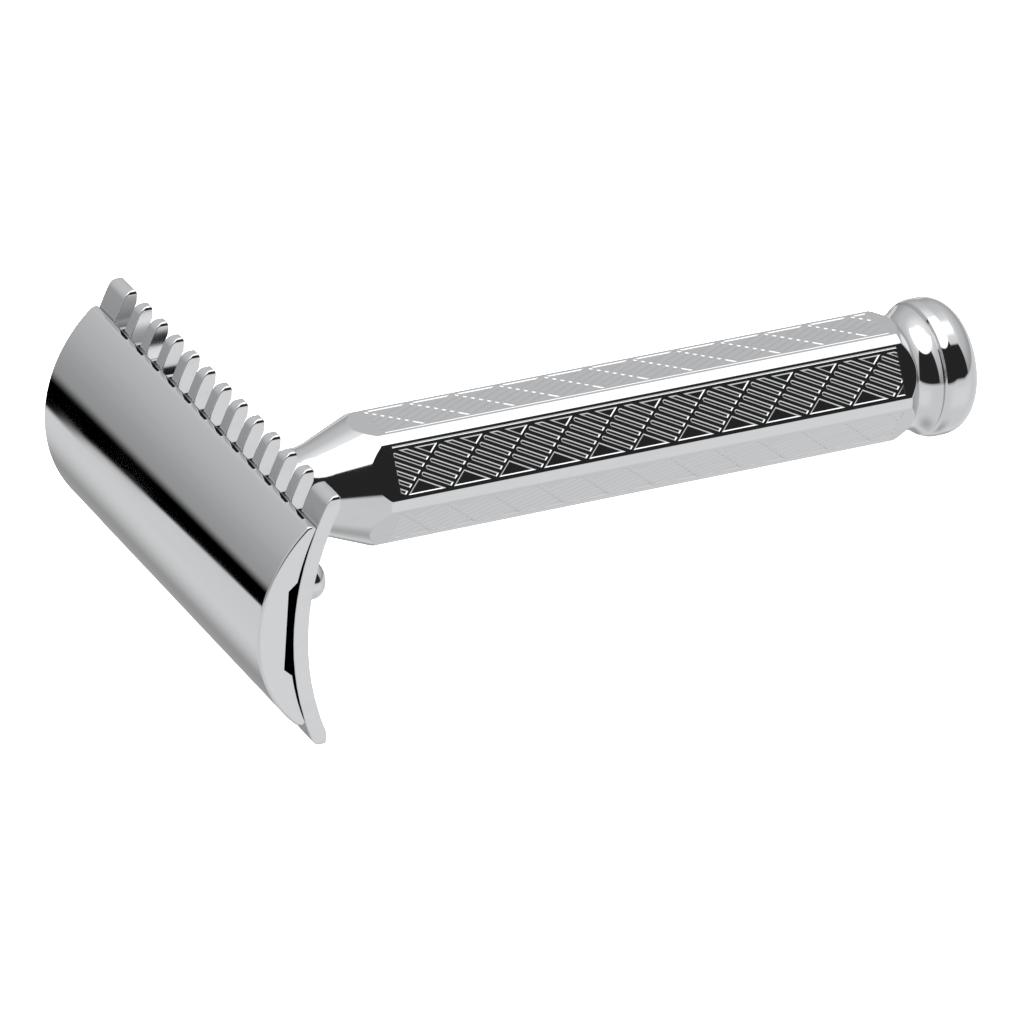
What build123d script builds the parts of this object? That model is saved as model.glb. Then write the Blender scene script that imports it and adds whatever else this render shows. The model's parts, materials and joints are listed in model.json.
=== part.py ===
"""Three-piece safety razor with an open comb guard and a hexagonal engraved handle.

The razor is designed in its own frame: X runs along the handle towards the end knob, Y along the
head and Z across the head, from one comb to the other. X = 0 is the plane of the comb tips. Each
finished piece is then laid down on its lower comb and its knob, which is how the razor rests.
"""

import os
from math import asin, atan2, cos, degrees, hypot, pi, radians, sin, sqrt

from build123d import *

# ---------------------------------------------------------------- driving dimensions, mm
HEAD_LENGTH = 43.5
COMB_WIDTH = 24.9  # from tip to tip

# Guard plate
GUARD_FRONT_X = -3.85  # apex of the curved face that a blade would lie on
GUARD_FRONT_RADIUS = 29.4
GUARD_BACK_X = -2.39
GUARD_BACK_RADIUS = 27.5
TIP_FRONT_FILLET = 1.2
TIP_BACK_FILLET = 0.3
TOOTH_PITCH = 3.2
TOOTH_GAP = 1.94
GAPS_PER_SIDE = 12
GAP_ROOT_Z = 8.1
BOSS_RADIUS = 4.6
BOSS_BACK_X = -1.0
BOSS_ROOT_DEPTH = 0.7  # how far the boss starts inside the plate

# Cap
CAP_APEX_X = -7.3
CAP_OUTER_RADIUS = 13.55
CAP_WIDTH = 19.8
CAP_EDGE_FILLET = 0.4
CAP_LIP_FILLET = 0.25
CAP_END_FILLET = 0.25
CAP_UNDER_RADIUS = 25.1  # tighter than the guard, so the two meet only along the cap's edges
CAP_SEAT_GAP = 0.02
RECESS_FLOOR_X = -4.57
RECESS_FLOOR_WIDTH = 7.8
RECESS_MOUTH_WIDTH = 9.3

# Stud and locating pins, fixed in the cap
STUD_RADIUS = 2.45
STUD_FRONT_X = -6.5
STUD_END_X = 8.0
STUD_CHAMFER = 0.5
STUD_HOLE_RADIUS = 2.7
PIN_RADIUS = 1.8
PIN_HOLE_RADIUS = 1.95
PIN_Y = 14.35
PIN_FRONT_X = -6.0
PIN_END_X = 2.5
PIN_END_FILLET = 1.2

# Handle
THREAD_PITCH = 0.8
THREAD_TURNS = 9
SEAT_CLEARANCE = 0.02
NECK_RADIUS = 3.9
NECK_CHAMFER = 0.35
FLARE_SLOPE = 0.385  # radius gained per mm along the handle
FLARE_END_X = 13.8  # where the flare reaches the hexagon's edges
NECK_FLARE_FILLET = 7.0
HEX_ACROSS_FLATS = 11.0
HEX_BEVEL_WIDTH = 1.09
HEX_TURN = -2.1  # degrees, where the thread happens to stop the handle
GRIP_TAPER_X = 67.1
GRIP_END_X = 68.2
GRIP_END_RADIUS = 5.45
INSERT_RADIUS = 3.2
INSERT_BORE_RADIUS = 2.5
INSERT_START_X = 0.2
INSERT_END_X = 8.6
OUTLINE_MARGIN = 1.0  # how far the turned outline stands outside the hexagon's corners
HOLLOW_RADIUS = 4.2
HOLLOW_START_X = 14.0
DRILL_POINT_SLOPE = 0.6

# End knob
SPIGOT_START_X = 62.0
COLLAR_WAIST_X = 68.75
COLLAR_WAIST_RADIUS = 5.38
COLLAR_END_X = 70.45
COLLAR_END_RADIUS = 6.02
GROOVE_RADIUS = 5.95
KNOB_START_X = 70.75
KNOB_START_RADIUS = 6.22
KNOB_CROWN_X = 71.65  # the knob is at its widest from here to where its corner starts to turn
KNOB_RADIUS = 6.44
KNOB_CORNER_RADIUS = 2.37
KNOB_DOME_RADIUS = 12.5
KNOB_END_X = 75.65


def arc_x(apex_x, radius, z):
    """X of an arc that has its apex at apex_x and its centre further along +X."""
    return apex_x + radius - sqrt(radius**2 - z**2)


# ---------------------------------------------------------------- how the razor lies
corner_centre_radius = KNOB_RADIUS - KNOB_CORNER_RADIUS
dome_centre_x = KNOB_END_X - KNOB_DOME_RADIUS
dome_to_corner = KNOB_DOME_RADIUS - KNOB_CORNER_RADIUS
corner_centre_x = dome_centre_x + sqrt(dome_to_corner**2 - corner_centre_radius**2)
tip_centre_x = -TIP_BACK_FILLET
tip_centre_z = TIP_BACK_FILLET - COMB_WIDTH / 2
run_x = corner_centre_x - tip_centre_x
run_z = -corner_centre_radius - tip_centre_z
tilt = atan2(run_z, run_x) - asin((KNOB_CORNER_RADIUS - TIP_BACK_FILLET) / hypot(run_x, run_z))
height = TIP_BACK_FILLET + tip_centre_x * sin(tilt) - tip_centre_z * cos(tilt)
turned = Location((0, 0, 0), (0, degrees(tilt), 0))

# ---------------------------------------------------------------- guard plate
half_comb = COMB_WIDTH / 2
with BuildPart() as guard_plate:
    with BuildSketch(Plane.XZ) as guard_section:
        with BuildLine():
            front_x = arc_x(GUARD_FRONT_X, GUARD_FRONT_RADIUS, half_comb)
            flat_z = sqrt(GUARD_BACK_RADIUS**2 - (GUARD_BACK_RADIUS + GUARD_BACK_X) ** 2)
            ThreePointArc((front_x, -half_comb), (GUARD_FRONT_X, 0), (front_x, half_comb))
            Polyline((front_x, half_comb), (0, half_comb), (0, flat_z))
            ThreePointArc((0, flat_z), (GUARD_BACK_X, 0), (0, -flat_z))
            Polyline((0, -flat_z), (0, -half_comb), (front_x, -half_comb))
        make_face()
        tip_corners = guard_section.vertices().filter_by_position(Axis.Z, half_comb - 0.01, half_comb + 0.01)
        tip_corners += guard_section.vertices().filter_by_position(Axis.Z, -half_comb - 0.01, 0.01 - half_comb)
        fillet(tip_corners.sort_by(Axis.X)[:2], TIP_FRONT_FILLET)
        tip_backs = guard_section.vertices().filter_by_position(Axis.X, -0.01, 0.01)
        fillet(tip_backs.sort_by(Axis.Z)[0], TIP_BACK_FILLET)
        tip_backs = guard_section.vertices().filter_by_position(Axis.X, -0.01, 0.01)
        fillet(tip_backs.sort_by(Axis.Z)[-1], TIP_BACK_FILLET)
    extrude(amount=HEAD_LENGTH / 2, both=True)
    boss_root_x = GUARD_BACK_X - BOSS_ROOT_DEPTH
    with BuildSketch(Plane.YZ.offset(boss_root_x)):
        Circle(BOSS_RADIUS)
    extrude(amount=BOSS_BACK_X - boss_root_x)
    slot_length = 2 * (COMB_WIDTH - GAP_ROOT_Z)
    with BuildSketch(Plane.YZ.offset(-CAP_WIDTH)):
        with GridLocations(TOOTH_PITCH, 2 * COMB_WIDTH, GAPS_PER_SIDE, 2):
            SlotOverall(slot_length, TOOTH_GAP, rotation=90)
    extrude(amount=2 * CAP_WIDTH, mode=Mode.SUBTRACT)
    with BuildSketch(Plane.YZ.offset(-CAP_WIDTH)):
        Circle(STUD_HOLE_RADIUS)
        with GridLocations(2 * PIN_Y, 0, 2, 1):
            Circle(PIN_HOLE_RADIUS)
    extrude(amount=2 * CAP_WIDTH, mode=Mode.SUBTRACT)

# ---------------------------------------------------------------- cap
half_cap = CAP_WIDTH / 2
seat_x = arc_x(GUARD_FRONT_X, GUARD_FRONT_RADIUS, half_cap) - CAP_SEAT_GAP
cap_under_x = seat_x - CAP_UNDER_RADIUS + sqrt(CAP_UNDER_RADIUS**2 - half_cap**2)
half_mouth = RECESS_MOUTH_WIDTH / 2
half_floor = RECESS_FLOOR_WIDTH / 2
with BuildPart() as cap:
    with BuildSketch(Plane.XZ) as cap_section:
        with BuildLine():
            outer_x = arc_x(CAP_APEX_X, CAP_OUTER_RADIUS, half_cap)
            land_x = arc_x(cap_under_x, CAP_UNDER_RADIUS, half_cap)
            mouth_x = arc_x(cap_under_x, CAP_UNDER_RADIUS, half_mouth)
            middle = (half_cap + half_mouth) / 2
            middle_x = arc_x(cap_under_x, CAP_UNDER_RADIUS, middle)
            ThreePointArc((outer_x, -half_cap), (CAP_APEX_X, 0), (outer_x, half_cap))
            Line((outer_x, half_cap), (land_x, half_cap))
            ThreePointArc((land_x, half_cap), (middle_x, middle), (mouth_x, half_mouth))
            Line((mouth_x, half_mouth), (RECESS_FLOOR_X, half_floor))
            Line((RECESS_FLOOR_X, half_floor), (RECESS_FLOOR_X, -half_floor))
            Line((RECESS_FLOOR_X, -half_floor), (mouth_x, -half_mouth))
            ThreePointArc((mouth_x, -half_mouth), (middle_x, -middle), (land_x, -half_cap))
            Line((land_x, -half_cap), (outer_x, -half_cap))
        make_face()
        outer_corners = cap_section.vertices().filter_by_position(Axis.X, outer_x - 0.01, outer_x + 0.01)
        fillet(outer_corners, CAP_EDGE_FILLET)
        lip_corners = cap_section.vertices().filter_by_position(Axis.X, land_x - 0.01, land_x + 0.01)
        fillet(lip_corners, CAP_LIP_FILLET)
    extrude(amount=HEAD_LENGTH / 2, both=True)
    crown_edges = cap.edges().filter_by(GeomType.CIRCLE).sort_by(SortBy.LENGTH)[-2:]
    fillet(crown_edges, CAP_END_FILLET)
    with BuildSketch(Plane.YZ.offset(STUD_FRONT_X)):
        Circle(STUD_RADIUS)
    extrude(amount=CAP_WIDTH, mode=Mode.SUBTRACT)
    with BuildSketch(Plane.YZ.offset(PIN_FRONT_X)):
        with GridLocations(2 * PIN_Y, 0, 2, 1):
            Circle(PIN_RADIUS)
    extrude(amount=CAP_WIDTH, mode=Mode.SUBTRACT)

# ---------------------------------------------------------------- threaded stud
with BuildPart() as threaded_stud:
    with BuildSketch(Plane.YZ.offset(STUD_FRONT_X)):
        Circle(STUD_RADIUS)
    extrude(amount=STUD_END_X - STUD_FRONT_X)
    chamfer(threaded_stud.edges().sort_by(Axis.X)[-1], STUD_CHAMFER)


def locating_pin(y):
    """A round pin with a domed free end, at y along the head."""
    with BuildPart() as pin:
        with BuildSketch(Plane.YZ.offset(PIN_FRONT_X)):
            with Locations((y, 0)):
                Circle(PIN_RADIUS)
        extrude(amount=PIN_END_X - PIN_FRONT_X)
        fillet(pin.edges().sort_by(Axis.X)[-1], PIN_END_FILLET)
    return pin


locating_pin_left = locating_pin(PIN_Y)
locating_pin_right = locating_pin(-PIN_Y)

# ---------------------------------------------------------------- handle grip: neck, flare and hexagon
neck_start_x = BOSS_BACK_X + SEAT_CLEARANCE
corner_radius = HEX_ACROSS_FLATS / 2 / cos(radians(30))
bevel_cut = HEX_BEVEL_WIDTH / (2 * sin(radians(60)))
edge_radius = hypot(HEX_ACROSS_FLATS / 2, (corner_radius - 2 * bevel_cut) / 2)
flare_foot_x = FLARE_END_X - (edge_radius - NECK_RADIUS) / FLARE_SLOPE
clear_radius = corner_radius + OUTLINE_MARGIN
flare_top_x = FLARE_END_X + (clear_radius - edge_radius) / FLARE_SLOPE
taper_slope = (edge_radius - GRIP_END_RADIUS) / (GRIP_END_X - GRIP_TAPER_X)
taper_top_x = GRIP_TAPER_X - (clear_radius - edge_radius) / taper_slope
with BuildPart() as handle_grip:
    with BuildSketch(Plane.XZ) as turned_outline:
        with BuildLine():
            Polyline(
                (neck_start_x, 0),
                (neck_start_x, NECK_RADIUS),
                (flare_foot_x, NECK_RADIUS),
                (flare_top_x, clear_radius),
                (taper_top_x, clear_radius),
                (GRIP_END_X, GRIP_END_RADIUS),
                (GRIP_END_X, 0),
                close=True,
            )
        make_face()
        flare_foot = turned_outline.vertices().filter_by_position(Axis.X, flare_foot_x - 0.01, flare_foot_x + 0.01)
        fillet(flare_foot, NECK_FLARE_FILLET)
        neck_corner = turned_outline.vertices().sort_by(Axis.X)[:2].sort_by(Axis.Z)[-1]
        chamfer(neck_corner, NECK_CHAMFER)
    revolve(axis=Axis.X)
    with BuildSketch(Plane.YZ.offset(neck_start_x)) as hexagon:
        RegularPolygon(HEX_ACROSS_FLATS / 2, 6, major_radius=False, rotation=HEX_TURN)
        chamfer(hexagon.vertices(), bevel_cut)
    extrude(amount=GRIP_END_X - neck_start_x, mode=Mode.INTERSECT)
    with BuildSketch(Plane.XZ):
        with BuildLine():
            point_x = HOLLOW_START_X - (HOLLOW_RADIUS - INSERT_BORE_RADIUS) * DRILL_POINT_SLOPE
            Polyline(
                (neck_start_x, 0),
                (neck_start_x, INSERT_RADIUS),
                (INSERT_END_X, INSERT_RADIUS),
                (INSERT_END_X, INSERT_BORE_RADIUS),
                (point_x, INSERT_BORE_RADIUS),
                (HOLLOW_START_X, HOLLOW_RADIUS),
                (GRIP_END_X, HOLLOW_RADIUS),
                (GRIP_END_X, 0),
                close=True,
            )
        make_face()
    revolve(axis=Axis.X, mode=Mode.SUBTRACT)

# ---------------------------------------------------------------- threaded insert in the neck
with BuildPart() as thread_insert:
    with BuildSketch(Plane.YZ.offset(INSERT_START_X)):
        Circle(INSERT_RADIUS)
        Circle(INSERT_BORE_RADIUS, mode=Mode.SUBTRACT)
    extrude(amount=INSERT_END_X - INSERT_START_X)

# ---------------------------------------------------------------- end knob, pressed into the grip
with BuildPart() as end_knob:
    with BuildSketch(Plane.XZ):
        with BuildLine():
            Polyline((SPIGOT_START_X, 0), (SPIGOT_START_X, HOLLOW_RADIUS), (GRIP_END_X, HOLLOW_RADIUS))
            Line((GRIP_END_X, HOLLOW_RADIUS), (GRIP_END_X, GRIP_END_RADIUS))
            ThreePointArc(
                (GRIP_END_X, GRIP_END_RADIUS),
                (COLLAR_WAIST_X, COLLAR_WAIST_RADIUS),
                (COLLAR_END_X, COLLAR_END_RADIUS),
            )
            Polyline(
                (COLLAR_END_X, COLLAR_END_RADIUS),
                ((COLLAR_END_X + KNOB_START_X) / 2, GROOVE_RADIUS),
                (KNOB_START_X, KNOB_START_RADIUS),
            )
            TangentArc((KNOB_CROWN_X, KNOB_RADIUS), (KNOB_START_X, KNOB_START_RADIUS), tangent=(-1, 0))
            Line((KNOB_CROWN_X, KNOB_RADIUS), (corner_centre_x, KNOB_RADIUS))
            turn = atan2(corner_centre_radius, corner_centre_x - dome_centre_x)
            corner_end_x = dome_centre_x + KNOB_DOME_RADIUS * cos(turn)
            corner_end_radius = KNOB_DOME_RADIUS * sin(turn)
            TangentArc(
                (corner_centre_x, KNOB_RADIUS), (corner_end_x, corner_end_radius), tangent=(1, 0)
            )
            TangentArc((KNOB_END_X, 0), (corner_end_x, corner_end_radius), tangent=(0, 1))
            Line((KNOB_END_X, 0), (SPIGOT_START_X, 0))
        make_face()
    revolve(axis=Axis.X)

# ---------------------------------------------------------------- lay each piece down and write it
pieces = {
    "cap": cap,
    "threaded_stud": threaded_stud,
    "locating_pin_left": locating_pin_left,
    "locating_pin_right": locating_pin_right,
    "guard_plate": guard_plate,
    "handle_grip": handle_grip,
    "thread_insert": thread_insert,
    "end_knob": end_knob,
}
lying = {name: piece.part.moved(turned) for name, piece in pieces.items()}
whole = Compound(children=list(lying.values())).bounding_box()
middle_x = (whole.min.X + whole.max.X) / 2
rest = Location((-middle_x, 0, height), (0, degrees(tilt), 0))

os.makedirs("parts", exist_ok=True)
for name, piece in pieces.items():
    laid = piece.part.moved(rest)
    laid.label = name
    export_step(laid, f"parts/{name}.step")

print("tilt", round(degrees(tilt), 4), "origin of the razor frame", round(-middle_x, 4), round(height, 4))
print("size", whole.size, "travel", THREAD_PITCH * THREAD_TURNS, "per radian", THREAD_PITCH / 2 / pi)
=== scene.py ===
"""Looks for a three-piece safety razor: polished shells, an engraved grip and a plain bright studio.

Each visible piece is built here in the razor's own frame, in millimetres: X runs along the handle from the
comb tips to the knob, Y along the head and Z across it. The handle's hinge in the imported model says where
that frame lies, so every piece lands on the CAD piece that it stands for.
"""

import json
from math import asin, atan, atan2, ceil, cos, degrees, hypot, pi, radians, sin, sqrt, tan

import bpy
from mathutils import Matrix, Vector
from mathutils.geometry import delaunay_2d_cdt


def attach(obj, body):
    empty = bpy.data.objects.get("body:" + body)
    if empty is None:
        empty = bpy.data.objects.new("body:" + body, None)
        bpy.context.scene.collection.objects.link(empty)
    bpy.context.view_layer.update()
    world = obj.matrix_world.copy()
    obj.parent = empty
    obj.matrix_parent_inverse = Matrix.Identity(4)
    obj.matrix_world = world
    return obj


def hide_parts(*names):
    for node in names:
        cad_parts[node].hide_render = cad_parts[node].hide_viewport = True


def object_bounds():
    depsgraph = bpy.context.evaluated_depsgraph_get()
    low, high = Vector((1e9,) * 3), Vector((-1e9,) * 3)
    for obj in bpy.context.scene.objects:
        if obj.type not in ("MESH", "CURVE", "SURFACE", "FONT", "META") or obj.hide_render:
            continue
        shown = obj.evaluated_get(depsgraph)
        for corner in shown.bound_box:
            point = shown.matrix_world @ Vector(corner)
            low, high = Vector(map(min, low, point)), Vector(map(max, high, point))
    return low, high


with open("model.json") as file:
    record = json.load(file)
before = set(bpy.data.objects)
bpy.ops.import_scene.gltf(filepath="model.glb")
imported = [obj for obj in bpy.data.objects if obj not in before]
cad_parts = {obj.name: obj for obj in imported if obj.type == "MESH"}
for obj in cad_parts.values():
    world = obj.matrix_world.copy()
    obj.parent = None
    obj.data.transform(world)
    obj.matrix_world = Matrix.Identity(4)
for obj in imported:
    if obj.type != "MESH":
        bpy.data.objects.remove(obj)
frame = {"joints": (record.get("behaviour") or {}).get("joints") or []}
cad_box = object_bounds()

MM = 0.001
TOWARDS_CAP = Vector((-1, 0, 0))
TOWARDS_KNOB = Vector((1, 0, 0))

# ---- sizes in the razor's frame, mm
HEAD_LENGTH = 43.5
COMB_HALF_WIDTH = 12.45

CAP_APEX_X = -7.3
CAP_RADIUS = 13.55
CAP_HALF_WIDTH = 9.9
CAP_EDGE_FILLET = 0.4
CAP_LIP_FILLET = 0.25
CAP_END_FILLET = 0.25
CAP_UNDER_ROUNDING = 0.06
RECESS_FLOOR_X = -4.57
RECESS_FLOOR_HALF = 3.9
RECESS_MOUTH_HALF = 4.65
CAP_UNDER_RADIUS = 25.1
CAP_SEAT_GAP = 0.02

GUARD_FRONT_X = -3.85
GUARD_FRONT_RADIUS = 29.4
GUARD_BACK_X = -2.39
GUARD_BACK_RADIUS = 27.5
TIP_FRONT_FILLET = 1.2
TIP_BACK_FILLET = 0.3
TIP_CORNER_RADIUS = 0.4
TOOTH_PITCH = 3.2
GAPS_PER_SIDE = 12
GAP_HALF_WIDTH = 0.97
GAP_CENTRE_Z = 9.07  # where the round bottom of a gap begins
GUARD_ROUNDING = 0.1
BOSS_RADIUS = 4.6
BOSS_BACK_X = -1.0
STUD_HOLE_RADIUS = 2.7
PIN_HOLE_RADIUS = 1.95
PIN_Y = 14.35
LOBE_SPOTS_Y = (18.9, 19.6, 20.3, 21)
END_ROWS_Z = (0, 1.5, 3, 4.5, 6, 7.5)

STUD_START_X = -6.1
STUD_CHAMFER = 0.5
STUD_THREAD_START_X = -3.17
STUD_RADIUS = 2.45
STUD_END_X = 8.0
PIN_START_X = -5.7
PIN_RADIUS = 1.8
PIN_END_X = 2.5
PIN_DOME = 1.2
THREAD_PITCH = 0.8
THREAD_DEPTH = 0.42

NECK_START_X = -0.98
NECK_RADIUS = 3.9
NECK_CHAMFER = 0.35
FLARE_SLOPE = 0.385
FLARE_END_X = 13.8
FLARE_FOOT_FILLET = 7.0
FACE_DISTANCE = 5.5
BEVEL_WIDTH = 1.09
MIDDLE_FACE_ANGLE = 32.1  # degrees, and the five others follow by sixties
GRIP_TAPER_X = 67.1
GRIP_END_X = 68.2
GRIP_END_RADIUS = 5.45
HOLLOW_RADIUS = 4.2
HOLLOW_START_X = 14.0
INSERT_RADIUS = 3.2
INSERT_BORE = 2.5
INSERT_START_X = 0.2
INSERT_END_X = 8.6
INSERT_LEAD_IN = 0.35
INSERT_RIM = 0.1
INSERT_THREAD_DEPTH = 0.25
STUD_CLEARANCE = 0.03
DRILL_POINT_SLOPE = 0.6
EDGE_SOFTNESS = 0.09

# Engraving of the six faces: W along the grip, S across a face
PANEL_START_W = 14.75
PANEL_END_W = 66.5
PANEL_LOW_S = -2.2
PANEL_HIGH_S = 1.9
FRAME_LINE_S = 2.24
FRAME_LINE_WIDTH = 0.15
LAND_PERIOD = 4.55
LAND_START_W = (15.27, 15.0)
LAND_WIDTH = 0.24
SLOT_ANGLE = 27.6
SLOT_STEP_S = 0.536
SLOT_FIRST_S = 0.23
SLOTS_PER_CELL = 6
SLOT_HALF_WIDTH = 0.2
ENGRAVING_WALL = 0.1
ENGRAVING_DEPTH = 0.06
ENGRAVING_SHARES = (1, 0.8, 0.6, 0.45, 0.3, 0.2, 0.1)  # of the wall and the depth, where a recess is narrow

# Turned end: spots are (x, radius)
COLLAR_WAIST = (68.75, 5.38)
COLLAR_END = (70.45, 6.02)
GROOVE = (70.6, 5.95)
KNOB_START = (70.75, 6.22)
KNOB_CROWN_X = 71.65
KNOB_RADIUS = 6.44
KNOB_CORNER_RADIUS = 2.37
KNOB_DOME_RADIUS = 12.5
KNOB_END_X = 75.65
SPIGOT_START_X = 62.0

# ---- where the razor's frame lies
handle_hinge = next(j for j in frame["joints"] if j["name"] == "handle_turn")
handle_axis = Vector(handle_hinge["axis"]).normalized()
tilt = atan2(-handle_axis.z, handle_axis.x)
LYING = Matrix.Rotation(tilt, 3, "Y")
ORIGIN = Vector(handle_hinge["pos_m"])


# ---- mesh building
def placed(name, data):
    """A new object in the scene."""
    thing = bpy.data.objects.new(name, data)
    bpy.context.scene.collection.objects.link(thing)
    return thing


class Shell:
    """A mesh built point by point in the razor's frame, with the normal of every face corner given."""

    def __init__(self):
        self.points = []
        self.faces = []
        self.normals = []

    def point(self, x, y, z):
        self.points.append(Vector((x, y, z)))
        return len(self.points) - 1

    def face(self, corners, normals):
        """One polygon, turned so that it faces the way of its normals. Corners that coincide count once."""
        kept = [i for i in range(len(corners)) if corners[i] != corners[i - 1]]
        corners = [corners[i] for i in kept]
        normals = [Vector(normals[i]) for i in kept]
        if len(corners) < 3:
            return
        spread = Vector()
        for i, corner in enumerate(corners):
            spread += self.points[corners[i - 1]].cross(self.points[corner])
        if spread.dot(sum(normals, Vector())) < 0:
            corners.reverse()
            normals.reverse()
        self.faces.append(corners)
        self.normals.extend(normals)

    def bridge(self, ring_a, normals_a, ring_b, normals_b):
        """Quads between two closed rows of as many points."""
        count = len(ring_a)
        for i in range(count):
            j = (i + 1) % count
            self.face(
                [ring_a[i], ring_a[j], ring_b[j], ring_b[i]],
                [normals_a[i], normals_a[j], normals_b[j], normals_b[i]],
            )

    def build(self, name, material, body, slot, *nodes):
        """The finished piece, riding on its body in place of the CAD nodes that it stands for.

        A point gets a vertex of its own for every normal that it has, which keeps the edges crisp.
        """
        normals = [LYING @ n.normalized() for n in self.normals]
        shared = {}
        spots = []
        faces = []
        number = 0
        for corners in self.faces:
            face = []
            for corner in corners:
                key = (corner, *(round(v, 3) for v in normals[number]))
                if key not in shared:
                    shared[key] = len(spots)
                    spots.append(ORIGIN + LYING @ self.points[corner] * MM)
                face.append(shared[key])
                number += 1
            faces.append(face)
        mesh = bpy.data.meshes.new(name)
        mesh.from_pydata(spots, [], faces)
        mesh.polygons.foreach_set("use_smooth", [True] * len(mesh.polygons))
        free_normals = mesh.attributes.new("custom_normal", "FLOAT_VECTOR", "CORNER")
        free_normals.data.foreach_set("vector", [v for n in normals for v in n])
        mesh.materials.append(material)
        piece = placed(name, mesh)
        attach(piece, body)
        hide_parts(*nodes)


def line(start, end):
    """A straight stroke of an outline: its points, and its normals on the left of the way."""
    along = (Vector(end) - Vector(start)).normalized()
    normal = Vector((-along.y, along.x))
    return [Vector(start), Vector(end)], [normal, normal]


def arc(centre, radius, start, end, steps):
    """A round stroke from angle start to angle end, in degrees, with its normals on the left of the way."""
    points = []
    normals = []
    side = -1 if end > start else 1
    for i in range(steps + 1):
        angle = radians(start + (end - start) * i / steps)
        outward = Vector((cos(angle), sin(angle)))
        points.append(Vector(centre) + radius * outward)
        normals.append(side * outward)
    return points, normals


def lathe(shell, strokes, columns):
    """Turns an outline of (x, radius) strokes about the handle's axis."""
    angles = [2 * pi * i / columns for i in range(columns)]

    def ring(point):
        if point.y < 1e-6:
            return [shell.point(point.x, 0, 0)] * columns
        return [shell.point(point.x, point.y * cos(a), point.y * sin(a)) for a in angles]

    def around(normal):
        return [Vector((normal.x, normal.y * cos(a), normal.y * sin(a))) for a in angles]

    last = ring(strokes[0][0][0])
    for points, normals in strokes:
        for i in range(1, len(points)):
            following = ring(points[i])
            shell.bridge(last, around(normals[i - 1]), following, around(normals[i]))
            last = following


def fill(shell, loops, spots, place, normal):
    """Triangles over the flat region inside loops[0] and outside the others.

    A loop is its flat points and their indices. spots are more points to pass through.
    """
    flat = []
    index = []
    rims = []
    for points, indices in loops:
        rim = list(range(len(flat), len(flat) + len(points)))
        spread = sum(Vector(points[i - 1]).cross(Vector(p)) for i, p in enumerate(points))
        rims.append(rim if spread > 0 else rim[::-1])
        flat += [Vector(p) for p in points]
        index += indices
    for spot in spots:
        flat.append(Vector(spot))
        index.append(None)
    corners, _, triangles, origins, _, covers = delaunay_2d_cdt(flat, [], rims, 0, 1e-6, True)
    chosen = []
    for corner, sources in zip(corners, origins):
        known = [index[s] for s in sources if index[s] is not None]
        chosen.append(known[0] if known else shell.point(*place(corner)))
    for triangle, cover in zip(triangles, covers):
        if list(cover) == [0]:
            shell.face([chosen[i] for i in triangle], [normal(corners[i]) for i in triangle])


# ---- cap
def cap_outline():
    """Section of the cap as strokes of (z, x), with the outside on the left of the way."""
    crown_x = CAP_APEX_X + CAP_RADIUS
    fillet_z = CAP_HALF_WIDTH - CAP_EDGE_FILLET
    fillet_x = crown_x - sqrt((CAP_RADIUS - CAP_EDGE_FILLET) ** 2 - fillet_z**2)
    edge_angle = degrees(atan2(fillet_x - crown_x, fillet_z))
    guard_x = GUARD_FRONT_X + GUARD_FRONT_RADIUS - sqrt(GUARD_FRONT_RADIUS**2 - CAP_HALF_WIDTH**2)
    under_x = guard_x - CAP_SEAT_GAP + sqrt(CAP_UNDER_RADIUS**2 - CAP_HALF_WIDTH**2)
    lip_z = CAP_HALF_WIDTH - CAP_LIP_FILLET
    lip_x = under_x - sqrt((CAP_UNDER_RADIUS + CAP_LIP_FILLET) ** 2 - lip_z**2)
    lip_angle = degrees(asin(lip_z / (CAP_UNDER_RADIUS + CAP_LIP_FILLET)))
    mouth_angle = degrees(asin(RECESS_MOUTH_HALF / CAP_UNDER_RADIUS))
    mouth_x = under_x - CAP_UNDER_RADIUS * cos(radians(mouth_angle))
    return [
        line((CAP_HALF_WIDTH, lip_x), (CAP_HALF_WIDTH, fillet_x)),
        arc((fillet_z, fillet_x), CAP_EDGE_FILLET, 0, edge_angle, 10),
        arc((0, crown_x), CAP_RADIUS, edge_angle, -180 - edge_angle, 120),
        arc((-fillet_z, fillet_x), CAP_EDGE_FILLET, -180 - edge_angle, -180, 10),
        line((-CAP_HALF_WIDTH, fillet_x), (-CAP_HALF_WIDTH, lip_x)),
        arc((-lip_z, lip_x), CAP_LIP_FILLET, -180, -270 - lip_angle, 8),
        arc((0, under_x), CAP_UNDER_RADIUS, -90 - lip_angle, -90 - mouth_angle, 12),
        line((-RECESS_MOUTH_HALF, mouth_x), (-RECESS_FLOOR_HALF, RECESS_FLOOR_X)),
        line((-RECESS_FLOOR_HALF, RECESS_FLOOR_X), (RECESS_FLOOR_HALF, RECESS_FLOOR_X)),
        line((RECESS_FLOOR_HALF, RECESS_FLOOR_X), (RECESS_MOUTH_HALF, mouth_x)),
        arc((0, under_x), CAP_UNDER_RADIUS, -90 + mouth_angle, -90 + lip_angle, 12),
        arc((lip_z, lip_x), CAP_LIP_FILLET, 90 + lip_angle, 0, 8),
    ]


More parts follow.
